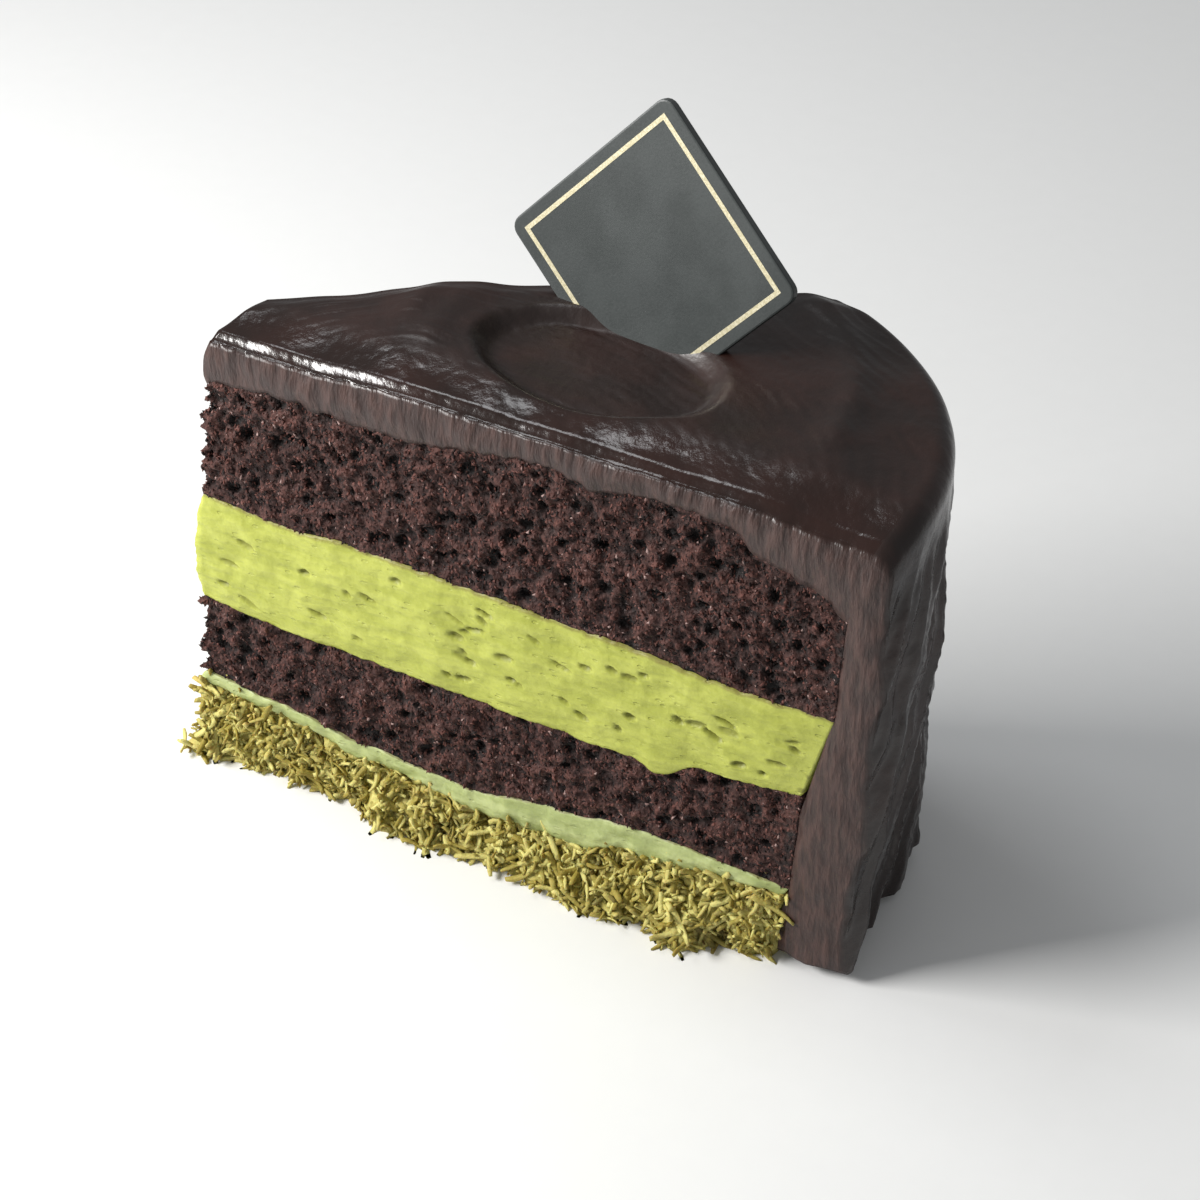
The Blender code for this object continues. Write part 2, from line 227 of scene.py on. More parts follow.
class Finish(Sheet):
    # a material with its Principled shader
    def __init__(self, name, **constants):
        self.material = bpy.data.materials.new(name)
        self.material.use_nodes = True
        super().__init__(self.material.node_tree)
        self.shader = self.tree.nodes["Principled BSDF"]
        self.place = self.add("ShaderNodeTexCoord", out=3)
        for socket, value in constants.items():
            self.shader.inputs[socket.replace("_", " ")].default_value = value

    def stretched(self, scale, turn=(0, 0, 0), shift=(0, 0, 0)):
        return self.add("ShaderNodeMapping", {}, {"Vector": self.place, "Location": shift,
                                                 "Rotation": turn, "Scale": scale})

    def clouds(self, size, detail=3.0, roughness=0.55, place=None, distortion=0.0):
        # noise with features of about size, in millimetres
        return self.add("ShaderNodeTexNoise", {}, {"Vector": place or self.place, "Scale": 1 / (size * mm),
                                                  "Detail": detail, "Roughness": roughness,
                                                  "Distortion": distortion})

    def cells(self, size, feature="F1", place=None, randomness=1.0):
        return self.add("ShaderNodeTexVoronoi", {"feature": feature},
                        {"Vector": place or self.place, "Scale": 1 / (size * mm), "Randomness": randomness})

    def drawn(self, attribute):
        return self.add("ShaderNodeAttribute", {"attribute_name": attribute}, out=2)

    def feed(self, **wires):
        for socket, wire in wires.items():
            self.tree.links.new(wire.socket, self.shader.inputs[socket.replace("_", " ")])

    def bump(self, *heights):
        # each height is (wire, depth in millimetres)
        normal = None
        for height, depth in heights:
            values = {"Height": height, "Distance": depth * mm, "Strength": 1.0}
            if normal:
                values["Normal"] = normal
            normal = self.add("ShaderNodeBump", {}, values)
        self.feed(Normal=normal)


# Form of the slice

def smooth(value):
    value = np.clip(value, 0, 1)
    return value * value * (3 - 2 * value)


def along(points, x):
    xs, zs = np.array(points, float).T
    step = np.clip(np.searchsorted(xs, x) - 1, 0, len(xs) - 2)
    return zs[step] + (zs[step + 1] - zs[step]) * smooth((x - xs[step]) / (xs[step + 1] - xs[step]))


def clouds(points, size, octaves=3, shift=0.0):
    # points are rows of three, in millimetres
    scaled = points / size + shift
    return np.array([noise.fractal(Vector(point), 0.8, 2.0, octaves) for point in scaled])


def grainGaps(points, size, shift=0.0):
    # distance to the nearest grain's middle, and to the next one
    scaled = points / size + shift
    found = [noise.voronoi(Vector(point))[0] for point in scaled]
    return np.array([gaps[0] for gaps in found]), np.array([gaps[1] for gaps in found])


def tipShift(height):
    return -cakePlan["tipLean"] * (1 - np.clip(height / cakeTop["cutEdge"], 0, 1) ** 1.8)


def sidePoint(v, side):
    start = -math.asin(cakePlan["arcCentre"][1] / cakePlan["arcRadius"])
    angle = start + v * (cakePlan["arcEnd"] - start)
    inwards = v * cakePlan["backDirection"]
    x = cakePlan["arcCentre"][0] + cakePlan["arcRadius"] * np.cos(angle) - side * np.cos(inwards)
    y = cakePlan["arcCentre"][1] + cakePlan["arcRadius"] * np.sin(angle) - side * np.sin(inwards)
    return x, y


def backY(x, shift):
    start = cakePlan["tipBack"][0] + shift
    cornerX, cornerY = sidePoint(np.ones(1), 0.0)
    part = (x - start) / (cornerX - start)
    tipY = cakePlan["tipBack"][1]
    return tipY + part * (cornerY - tipY) + cakePlan["backBow"] * 4 * part * (1 - part)


def planPoint(u, v, side, shift):
    # u from the tip to the glazed side, v from the front cut to the back cut
    one = np.ones_like(v)
    tipX, tipY = cakePlan["tipBack"]
    cornerX, plainCornerY = sidePoint(one, side)
    cornerY = backY(cornerX, shift)
    frontX, frontY = sidePoint(0 * v, side)
    backX = tipX + shift + u * (cornerX - tipX - shift)
    outerX, outerY = sidePoint(v, side)
    outerY = outerY + v * (cornerY - plainCornerY)
    x = ((1 - v) * (shift + u * (frontX - shift)) + v * backX + (1 - u) * (shift + v * tipX) + u * outerX
         - (1 - u) * (shift + v * tipX) - u * ((1 - v) * frontX + v * cornerX))
    y = (v * backY(backX, shift) + (1 - u) * v * tipY + u * outerY
         - (1 - u) * v * tipY - u * ((1 - v) * frontY + v * cornerY))
    return x, y


def seamHeight(name, x, y):
    # height of a surface between layers: it calms down away from the front cut
    seam = seams[name]
    heights = seam["heights"]
    if name == "floor":
        return np.zeros_like(x)
    mean = np.mean([z for _, z in heights])
    deep = smooth(y / 22)
    flat = np.stack([x, y * 0.7, np.full_like(x, mean)], 1)
    ragged = seam["ragged"] * (clouds(flat, 2.4, 3) + 0.6 * clouds(flat, 7.0, 2))
    return (mean + (along(heights, x) - mean) * (1 - 0.65 * deep) + 0.45 * np.sin(x / 11 + y / 8) * deep
            + ragged)


def seamPoint(name, u, v, inwards=0.0):
    seam = seams[name]
    mean = np.mean([z for _, z in seam["heights"]])
    x, y = planPoint(u, v, seam["side"] + inwards, tipShift(mean))
    return np.stack([x, y, seamHeight(name, x, y)], 1)


def inFrame(points):
    centre = np.array([*cakePlan["footprintCentre"], 0])
    return (points - centre) * mm


def boxSurface(uCuts, vCuts, wCuts):
    # the points of a closed box grid with those cuts, and its faces
    shape = (len(uCuts), len(vCuts), len(wCuts))
    outside = np.zeros(shape, bool)
    outside[[0, -1]] = True
    outside[:, [0, -1]] = True
    outside[:, :, [0, -1]] = True
    number = np.full(shape, -1)
    number[outside] = np.arange(outside.sum())
    u, v, w = (grid[outside] for grid in np.meshgrid(uCuts, vCuts, wCuts, indexing="ij"))
    quads = []
    sheets = ((number[0], False), (number[-1], True), (number[:, 0], True), (number[:, -1], False),
              (number[:, :, 0], False), (number[:, :, -1], True))
    for sheet, turned in sheets:
        corners = np.stack([sheet[:-1, :-1], sheet[:-1, 1:], sheet[1:, 1:], sheet[1:, :-1]], -1).reshape(-1, 4)
        quads.append(corners[:, ::-1] if turned else corners)
    return u, v, w, np.concatenate(quads)


def makePiece(name, points, faces, finish, marks=None):
    mesh = bpy.data.meshes.new(name)
    mesh.from_pydata(inFrame(points).tolist(), [], faces.tolist() if hasattr(faces, "tolist") else faces)
    for mark, values in (marks or {}).items():
        layer = mesh.attributes.new(mark, "FLOAT", "POINT")
        layer.data.foreach_set("value", np.asarray(values, np.float32))
    mesh.materials.append(finish)
    mesh.shade_smooth()
    piece = bpy.data.objects.new(name, mesh)
    bpy.context.scene.collection.objects.link(piece)
    return piece


def dress(piece, slotName, *nodes):
    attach(piece, "root")
    if nodes:
        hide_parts(*nodes)


def layerPoints(lower, upper, counts, gap=0.05):
    # the points of one layer between two seams, before its relief
    u, v, w, faces = boxSurface(*(np.linspace(0, 1, count) for count in counts))
    bottom = seamPoint(lower, u, v, gap)
    top = seamPoint(upper, u, v, gap)
    points = bottom + (top - bottom) * w[:, None]
    return u, v, w, points, faces


def pushOut(points, u, v, amount):
    # moves the points of the three cut faces outwards by amount, less where the glaze begins
    amount = amount * smooth((1 - u) * 25)
    moved = points.copy()
    front = v < 0.001
    back = v > 0.999
    tip = u < 0.001
    moved[front, 1] -= amount[front]
    moved[back] += amount[back, None] * backOut
    moved[tip, 0] -= amount[tip]
    return moved


# Chocolate sponge: two layers, crumbly where it is cut

sponge = {
    "broadRelief": 1.1,
    "broadSize": 3.0,
    "crumbSize": 0.85,
    "crumbRelief": 0.32,
    "pitSize": 3.6,
    "pitReach": 0.34,
    "pitDepth": 1.1,
    "crumbDensity": 3.0e6,           # loose flakes for each square metre of cut face
    "crumbScale": (0.16, 0.5),       # millimetres, half their length
}


def spongeFinish():
    finish = Finish("chocolateSponge", Roughness=0.8, Specular_IOR_Level=0.45)
    relief = finish.drawn("relief")
    tone = finish.clouds(0.9, 4.0, 0.65)
    broad = finish.clouds(6.0, 2.0)
    grain = finish.cells(0.55)
    # painted light and shade: the colour follows the relief, near-black painted shade in the pits and gaps and
    # brighter brown painted light on the raised crumbs
    lit = finish.between(relief, -0.7, 0.6)
    shade = finish.between(tone * 0.75 + broad * 0.35, 0.42, 0.72)
    deep = finish.mixColour(lit, (0.004, 0.0015, 0.0012), (0.03, 0.0085, 0.006))
    brown = finish.mixColour(shade * lit, deep, (0.115, 0.037, 0.026))
    # painted glints: small pale pink spots in the base colour stand in for highlights; the roughness is also
    # lowered there
    speck = finish.between(finish.clouds(0.42, 2.0, 0.6, finish.stretched((1, 1, 1), shift=(0.3, 0.1, 0.2))),
                           0.66, 0.74) * finish.between(broad, 0.42, 0.62)
    colour = finish.mixColour(speck * 0.55, brown, (0.42, 0.3, 0.28))
    finish.feed(Base_Color=colour, Roughness=0.9 - 0.35 * shade - 0.3 * speck)
    finish.bump((tone, 0.5), (grain, 0.22))
    return finish.material


def makeSponge(name, node, lower, upper, counts, finish):
    u, v, w, points, faces = layerPoints(lower, upper, counts)
    broad = clouds(points, sponge["broadSize"])
    near, after = grainGaps(points, sponge["crumbSize"])
    crumb = 0.55 - near
    pitNear, _ = grainGaps(points, sponge["pitSize"], 7.3)
    pit = smooth((sponge["pitReach"] - pitNear + 0.06 * broad) / 0.14)
    amount = sponge["broadRelief"] * broad + sponge["crumbRelief"] * crumb * 2 - sponge["pitDepth"] * pit
    amount = amount * smooth(w * 14 + 0.15) * smooth((1 - w) * 14 + 0.15)
    moved = pushOut(points, u, v, -0.15 + amount)
    cut = ((v < 0.001) | (v > 0.999) | (u < 0.001)).astype(float)
    # relief is stored for the painted light and shade: the finish darkens the sponge where it is low
    relief = 0.55 * broad + 0.9 * crumb - 1.1 * pit
    piece = makePiece(name, moved, faces, finish, {"relief": relief, "cut": cut})
    dress(piece, node, node)
    return piece


# Scatters small shapes over the cut faces of a piece and returns them as one plain mesh

def scatterTree(name, grain, finish, lift=0.1, flat=False, minDistance=0.0):
    tree = bpy.data.node_groups.new(name, "GeometryNodeTree")
    ports = {"Geometry": "NodeSocketGeometry", "Density": "NodeSocketFloat", "Smallest": "NodeSocketFloat",
             "Largest": "NodeSocketFloat", "Seed": "NodeSocketInt"}
    for port, kind in ports.items():
        tree.interface.new_socket(name=port, in_out="INPUT", socket_type=kind)
    tree.interface.new_socket(name="Geometry", in_out="OUTPUT", socket_type="NodeSocketGeometry")
    sheet = Sheet(tree)
    given = {port: sheet.add("NodeGroupInput", out=number) for number, port in enumerate(ports)}
    cut = sheet.add("GeometryNodeInputNamedAttribute", {"data_type": "FLOAT"}, {"Name": "cut"})
    spots = tree.nodes.new("GeometryNodeDistributePointsOnFaces")
    sheet.tree.links.new(given["Geometry"].socket, spots.inputs["Mesh"])
    sheet.tree.links.new((given["Density"] * sheet.between(cut, 0.5, 0.9)).socket, spots.inputs["Density"])
    sheet.tree.links.new(given["Seed"].socket, spots.inputs["Seed"])
    normal = Wire(sheet, spots.outputs["Normal"])
    lifted = sheet.add("ShaderNodeVectorMath", {"operation": "SCALE"}, {0: normal, "Scale": lift * mm})
    points = sheet.add("GeometryNodeSetPosition", {}, {"Geometry": Wire(sheet, spots.outputs["Points"]),
                                                      "Offset": lifted})
    shape = sheet.add("GeometryNodeObjectInfo", {}, {"Object": grain}, 4)
    size = sheet.add("FunctionNodeRandomValue", {"data_type": "FLOAT"},
                     {2: given["Smallest"], 3: given["Largest"], "Seed": 3}, 1)
    turn = sheet.add("FunctionNodeRandomValue", {"data_type": "FLOAT_VECTOR"},
                     {0: (0, 0, 0), 1: (6.28, 0.5 if flat else 6.28, 6.28), "Seed": 5}, 0)
    if flat:
        lying = sheet.add("FunctionNodeAlignRotationToVector", {"axis": "Z"}, {"Vector": normal})
        spin = sheet.add("FunctionNodeRandomValue", {"data_type": "FLOAT_VECTOR"},
                         {0: (-0.5, -0.5, -3.14), 1: (0.5, 0.5, 3.14), "Seed": 5}, 0)
        turn = sheet.add("FunctionNodeRotateRotation", {"rotation_space": "LOCAL"},
                         {"Rotation": lying, "Rotate By": spin})
    grains = sheet.add("GeometryNodeInstanceOnPoints", {}, {"Points": points, "Instance": shape,
                                                           "Rotation": turn, "Scale": size})
    tone = sheet.add("FunctionNodeRandomValue", {"data_type": "FLOAT"}, {2: 0.0, 3: 1.0, "Seed": 9}, 1)
    toned = sheet.add("GeometryNodeStoreNamedAttribute", {"data_type": "FLOAT", "domain": "INSTANCE"},
                      {"Geometry": grains, "Name": "tone", "Value": tone})
    real = sheet.add("GeometryNodeRealizeInstances", {}, {"Geometry": toned})
    painted = sheet.add("GeometryNodeSetMaterial", {}, {"Geometry": real, "Material": finish})
    sheet.add("NodeGroupOutput", {}, {0: painted}) if False else None
    output = tree.nodes.new("NodeGroupOutput")
    tree.links.new(painted.socket, output.inputs[0])
    return tree


def scatter(name, carrier, tree, **inputs):
    holder = bpy.data.objects.new(name + "Holder", carrier.data)
    bpy.context.scene.collection.objects.link(holder)
    scattering = holder.modifiers.new("scatter", "NODES")
    scattering.node_group = tree
    for port in tree.interface.items_tree:
        if port.in_out == "INPUT" and port.name in inputs:
            scattering[port.identifier] = inputs[port.name]
    bpy.context.view_layer.update()
    graph = bpy.context.evaluated_depsgraph_get()
    mesh = bpy.data.meshes.new_from_object(holder.evaluated_get(graph))
    holder.modifiers.clear()
    bpy.data.objects.remove(holder)
    mesh.name = name
    mesh.shade_smooth()
    piece = bpy.data.objects.new(name, mesh)
    bpy.context.scene.collection.objects.link(piece)
    return piece


def helperObject(name, points, faces):
    # a small shape at true size, in metres, kept out of the scene's collection
    mesh = bpy.data.meshes.new(name)
    mesh.from_pydata((np.asarray(points) * mm).tolist(), [], faces)
    mesh.shade_smooth()
    return bpy.data.objects.new(name, mesh)


def crumbShape():
    # an angular flake of 8 faces, about two millimetres long
    points = [(1.25, 0.1, 0.05), (-1.05, -0.15, 0.2), (0.2, 0.62, -0.1), (-0.15, -0.7, 0.12),
              (0.25, 0.05, 0.42), (-0.3, 0.1, -0.4)]
    faces = [(0, 2, 4), (2, 1, 4), (1, 3, 4), (3, 0, 4), (2, 0, 5), (1, 2, 5), (3, 1, 5), (0, 3, 5)]
    return helperObject("crumbShape", points, faces)


def makeSpongeCrumbs(pieces, finish):
    tree = scatterTree("crumbs on the cut", crumbShape(), finish, lift=-0.05)
    smallest, largest = sponge["crumbScale"]
    for number, (name, carrier, slotName) in enumerate(pieces):
        crumbs = scatter(name, carrier, tree, Density=sponge["crumbDensity"], Smallest=smallest,
                         Largest=largest, Seed=number + 4)
        dress(crumbs, slotName)


def crumbFinish():
    finish = Finish("spongeCrumbs", Roughness=0.8)
    tone = finish.drawn("tone")
    grain = finish.clouds(0.35, 3.0)
    brown = finish.mixColour(finish.between(tone + 0.3 * grain, 0.35, 1.1), (0.008, 0.0022, 0.0016),
                             (0.13, 0.042, 0.03))
    # painted glints: the palest few percent of crumbs are tinted pale pink to stand in for highlights
    colour = finish.mixColour(finish.between(tone, 0.965, 0.99) * 0.6, brown, (0.5, 0.36, 0.33))
    finish.feed(Base_Color=colour, Roughness=0.85 - 0.3 * finish.between(tone, 0.6, 1.0))
    finish.bump((grain, 0.2))
    return finish.material


# Green cream: smooth, with smears from the knife and small air holes

cream = {
    "relief": 0.35,
    "bulge": 0.6,
    "holeCount": 46,
    "holeWidth": (0.5, 1.6),
    "holeHeight": (0.28, 0.6),
    "holeDepth": (0.35, 0.9),
    "seed": 8,
}


def holesIn(points, draw, lowZ, highZ):
    # depth of the air holes at points, in millimetres
    depth = np.zeros(len(points))
    for _ in range(cream["holeCount"]):
        x = draw.uniform(-3, 88)
        z = draw.uniform(lowZ, highZ)
        wide = draw.uniform(*cream["holeWidth"])
        tall = draw.uniform(*cream["holeHeight"])
        slope = draw.uniform(-0.5, 0.2)
        acrossX = points[:, 0] - x
        acrossZ = points[:, 2] - z - slope * acrossX
        reach = np.hypot(acrossX / wide, acrossZ / tall)
        depth = np.maximum(depth, draw.uniform(*cream["holeDepth"]) * smooth((1.25 - reach) / 0.6))
    return depth


def creamFinish(name, light, dark, stain):
    finish = Finish(name, Roughness=0.45, Subsurface_Weight=0.12, Subsurface_Scale=0.002)
    finish.shader.inputs["Subsurface Radius"].default_value = (1.0, 0.9, 0.35)
    smear = finish.clouds(3.0, 3.0, 0.55, finish.stretched((0.35, 0.35, 1.4), (0, 0.06, 0)))
    speck = finish.clouds(0.8, 3.0, 0.6)
    hole = finish.drawn("hole")
    edge = finish.drawn("edge")
    tone = finish.between(smear * 0.7 + speck * 0.3, 0.36, 0.66)
    colour = finish.mixColour(tone, dark, light)
    stained = finish.between(edge + 0.5 * finish.clouds(1.6, 3.0, 0.6), 0.95, 1.3)
    colour = finish.mixColour(stained * 0.6, colour, stain)
    # painted shade inside the air holes: the colour darkens with the hole's depth
    colour = finish.mixColour(hole * 0.75, colour, (dark[0] * 0.45, dark[1] * 0.42, dark[2] * 0.3))
    small = finish.between(finish.cells(1.5, place=finish.stretched((0.55, 1, 1.3))), 0.12, 0.2)
    finish.feed(Base_Color=colour, Roughness=0.4 + 0.25 * speck)
    finish.bump((smear, 0.35), (speck, 0.12), (small, 0.1))
    return finish.material


def makeCream(name, node, slotName, lower, upper, counts, bulge, relief, grain, finish, holes=True):
    u, v, w, points, faces = layerPoints(lower, upper, counts)
    rng = np.random.default_rng(cream["seed"])
    middle = 4 * w * (1 - w)
    hole = np.zeros(len(points))
    if holes:
        hole = holesIn(points, rng, 30.5, 44.0) * (v < 0.001)
    amount = relief * clouds(points, grain) + 0.1 * clouds(points * [0.5, 1, 1.6], 1.6) + bulge * middle ** 0.6
    moved = pushOut(points, u, v, amount * smooth((1 - u) * 12 + 0.2) - hole)
    edge = smooth((w - 0.9) / 0.1)
    # the hole depth is also stored for the painted shade inside the holes
    piece = makePiece(name, moved, faces, finish, {"hole": np.clip(hole * 2, 0, 1), "edge": edge})
    dress(piece, slotName, node)
    return piece


# Crunchy base: shreds of pastry pressed together

base = {
    "spread": [(-4, 2.2), (9, 1.4), (15, 1.4), (25, 4.2), (48, 3.2), (57, 4.9), (66, 3.4), (72, 5.3), (78, 1.8)],
    "relief": 1.5,
    "reliefSize": 4.2,
    "shredDensity": 1.05e6,
    "shredScale": (0.6, 1.35),
    "seed": 2,
}


def shredShape(name, length, curl, twist):
    # a curled strip with square ends, lying along X
    points = []
    faces = []
    steps = 6
    for step in range(steps + 1):
        part = step / steps
        angle = curl * (part - 0.5)
        x = length * math.sin(angle) / max(abs(curl), 0.01) if curl else length * (part - 0.5)
        z = length * (1 - math.cos(angle)) / max(abs(curl), 0.01) if curl else 0
        lean = twist * (part - 0.5)
        half = 0.34 * (0.65 + 0.35 * math.sin(part * math.pi)) + 0.05 * math.sin(part * 9)
        for a, b in ((-half, -0.13), (half, -0.13), (half, 0.13), (-half, 0.13)):
            points.append((x, a * math.cos(lean) - b * math.sin(lean), z + a * math.sin(lean) + b * math.cos(lean)))
    for step in range(steps):
        for side in range(4):
            a = step * 4 + side
            b = step * 4 + (side + 1) % 4
            faces.append((a, a + 4, b + 4, b)[::-1])
    faces.append((0, 1, 2, 3)[::-1])
    faces.append(tuple(steps * 4 + corner for corner in (0, 1, 2, 3)))
    return helperObject(name, points, faces)


def crunchFinish():
    finish = Finish("pastryCrunch", Roughness=0.75, Subsurface_Weight=0.08, Subsurface_Scale=0.0015)
    tone = finish.drawn("tone")
    broad = finish.clouds(5.0, 3.0)
    fine = finish.clouds(0.6, 4.0, 0.65)
    relief = finish.drawn("relief")
    pale = finish.between(tone * 0.55 + broad * 0.5 + fine * 0.35, 0.45, 1.05)
    colour = finish.mixColour(pale, (0.30, 0.24, 0.035), (0.66, 0.60, 0.2))
    orange = finish.between(finish.clouds(7.5, 2.0, 0.5, finish.stretched((1, 1, 1), shift=(0.05, 0.2, 0.1))),
                            0.58, 0.72) * finish.between(tone, 0.5, 0.9)
    colour = finish.mixColour(orange * 0.5, colour, (0.5, 0.26, 0.04))
    # painted shade in the hollows: the colour darkens towards near-black olive where the relief is low
    deep = finish.between(relief, -0.1, -0.9)
    colour = finish.mixColour(deep * 0.8, colour, (0.07, 0.055, 0.008))
    finish.feed(Base_Color=colour, Roughness=0.85 - 0.3 * fine)
    finish.bump((fine, 0.25))
    return finish.material


def makeBase(finish):
    u, v, w, points, faces = layerPoints("floor", "thinFoot", (280, 30, 36))
    broad = clouds(points, base["reliefSize"])
    fine = clouds(points, 1.1)
    middle = 4 * w * (1 - w)
    spread = along(base["spread"], points[:, 0]) * (1 - smooth(w * 1.25)) + 0.5 * middle
    amount = -0.5 + base["relief"] * broad + 0.45 * fine + spread * (v < 0.001)
    moved = pushOut(points, u, v, amount)
    moved[:, 2] = np.maximum(moved[:, 2], 0.02)
    cut = ((v < 0.001) | (v > 0.999) | (u < 0.001)) & (w > 0.02)
    # relief is stored for the painted shade in the hollows of the base
    relief = broad + 0.5 * fine
    core = makePiece("crunchBase", moved, faces, finish,
                     {"relief": relief, "cut": cut.astype(float), "tone": 0.5 + 0.4 * fine})
    dress(core, "crunch", "base")
    shapes = bpy.data.collections.new("shredShapes")
    for number, (length, curl, twist) in enumerate(((3.2, 0.9, 0.8), (4.4, 1.6, -0.6), (2.4, 2.2, 1.2),
                                                    (5.2, 0.7, 1.6), (1.6, 0.4, -1.0))):
        shape = shredShape("shred%d" % number, length, curl, twist)
        tree = scatterTree("shreds on the base", shape, finish, lift=0.25, flat=True)
        shreds = scatter("pastryShreds%d" % (number + 1), core, tree, Density=base["shredDensity"] / 5,
                         Smallest=base["shredScale"][0], Largest=base["shredScale"][1],
                         Seed=base["seed"] + number)
        heights = np.zeros(len(shreds.data.vertices) * 3, np.float32)
        shreds.data.vertices.foreach_get("co", heights)
        heights = heights.reshape(-1, 3)
        heights[:, 2] = np.maximum(heights[:, 2], 0.00002)
        shreds.data.vertices.foreach_set("co", heights.ravel())
        dress(shreds, "crunch")
    bpy.data.collections.remove(shapes)
    return core


# Chocolate glaze over the top and down the outer side

glaze = {
    "topCells": 200,
    "rimCells": 12,
    "sideCells": 150,
    "rows": 100,
    "depthCells": 9,
    "wall": [(0.0, 12.2), (9.5, 11.8), (12.8, 11.0), (28.4, 10.0), (46.2, 6.2), (62.0, 5.4)],
    "sideLength": 54.0,
    "foldSpacing": 9.0,
    "foldSlant": 0.34,
    "foldDepth": 1.2,
}


def topHeight(x, y, toBack):
    z = cakeTop["cutEdge"] + cakeTop["crown"] * smooth(y / cakeTop["bevelWidth"]) - 0.6 * (1 - smooth(toBack / 3))
    z = z - 1.0 * (1 - smooth(y / 1.6))
    reach = np.hypot((x - cakeTop["scoopCentre"][0]) / cakeTop["scoopSize"][0],
                     (y - cakeTop["scoopCentre"][1]) / cakeTop["scoopSize"][1])
    z = z - cakeTop["scoopDepth"] * smooth((1.12 - reach) / 0.24)
    crest = np.hypot(x - cakeTop["rimCrestCentre"][0], y - cakeTop["rimCrestCentre"][1]) - cakeTop["rimCrestRadius"]
    z = z + smooth((y - 8) / 8) * cakeTop["crestHeight"] * np.exp(-(crest / 2.2) ** 2) - 0.9 * smooth(crest / 12)
    z = z + cakeTop["crestHeight"] * np.exp(-((x - cakeTop["leftCrestX"]) / 3.0) ** 2) * smooth((y - 6) / 6)
    low = np.stack([x / 9, y / 5, np.full_like(x, 1.7)], 1)
    z = z + 0.25 * np.array([noise.noise(Vector(point)) for point in low])
    return z


def topRipples(x, y):
    # fine marks of the spatula: they run with the camera's horizontal and bend round the rim
    spread = np.hypot(x - 40, y + 30)
    sway = np.stack([x / 16, y / 16, np.zeros_like(x)], 1)
    bend = clouds(sway, 1.0, 2) * 2.0
    lines = np.sin((spread + bend) * 3.3) + 0.6 * np.sin((spread + bend) * 5.9 + 1.3)
    patch = clouds(sway * 2.3, 1.0, 2, 5.0)
    return 0.035 * lines * np.clip(0.6 + patch, 0, 1.4)


def sideWrinkles(v, z):
    climb = v * glaze["sideLength"] - glaze["foldSlant"] * z
    fold = np.abs(np.sin(climb / glaze["foldSpacing"] * math.pi)) + 0.5 * np.abs(np.sin(climb * 0.93 + z * 0.07))
    place = np.stack([v * 9, z / 9, np.full_like(z, 4.1)], 1)
    bumps = np.array([noise.noise(Vector(point)) for point in place])
    fine = clouds(np.stack([climb, z * 0.35, v * 0], 1), 2.4, 3, 2.0)
    return glaze["foldDepth"] * (0.9 - fold) + 1.0 * bumps + 0.25 * fine


def sideTuck(v, z):
    depth = 2.8 + 2.0 * smooth(v / 0.12) - 4.4 * smooth((v - 0.22) / 0.25)
    return depth * (1 - np.clip(z / cakeTop["cutEdge"], 0, 1)) ** 2.6


def glazeOutside(path, v):
    top = glaze["topCells"]
    rim = glaze["rimCells"]
    radius = cakeTop["rimRadius"]
    points = np.zeros((len(path), 3))
    onTop = path <= top
    x, y = planPoint(path[onTop] / top, v[onTop], radius, 0.0)
    z = topHeight(x, y, backY(x, 0.0) - y)
    z = z + topRipples(x, y) * smooth((y - 4) / 5) * smooth((backY(x, 0.0) - y) / 3)
    points[onTop] = np.stack([x, y, z], 1)
    rest = ~onTop
    one = np.ones(rest.sum())
    rimX, rimY = planPoint(one, v[rest], radius, 0.0)
    rimHeight = topHeight(rimX, rimY, backY(rimX, 0.0) - rimY)
    turn = np.clip((path[rest] - top) / rim, 0, 1) * math.pi / 2
    part = np.clip((path[rest] - top - rim) / glaze["sideCells"], 0, 1)
    onRim = part <= 0
    foot = cakeTop["footHeight"] + 0.7 * np.sin(v[rest] * 17)
    z = np.where(onRim, rimHeight - radius * (1 - np.cos(turn)), (rimHeight - radius) * (1 - part) + foot * part)
    inset = np.where(onRim, radius * (1 - np.sin(turn)),
                     sideTuck(v[rest], z) - sideWrinkles(v[rest], z) * smooth(part * 6))
    x, y = planPoint(one, v[rest], inset, 0.0)
    points[rest] = np.stack([x, y, z], 1)
    return points


def glazeInside(path, v):
    top = glaze["topCells"]
    points = np.zeros((len(path), 3))
    onTop = path <= top
    points[onTop] = seamPoint("glazeFloor", path[onTop] / top, v[onTop])
    rest = ~onTop
    one = np.ones(rest.sum())
    corner = seamPoint("glazeFloor", one, v[rest])
    part = (path[rest] - top) / (glaze["rimCells"] + glaze["sideCells"])
    z = corner[:, 2] * (1 - part) + cakeTop["footHeight"] * part
    heights, insets = np.array(glaze["wall"]).T
    x, y = planPoint(one, v[rest], np.interp(z, heights, insets), tipShift(z))
    points[rest] = np.stack([x, y, z], 1)
    return points


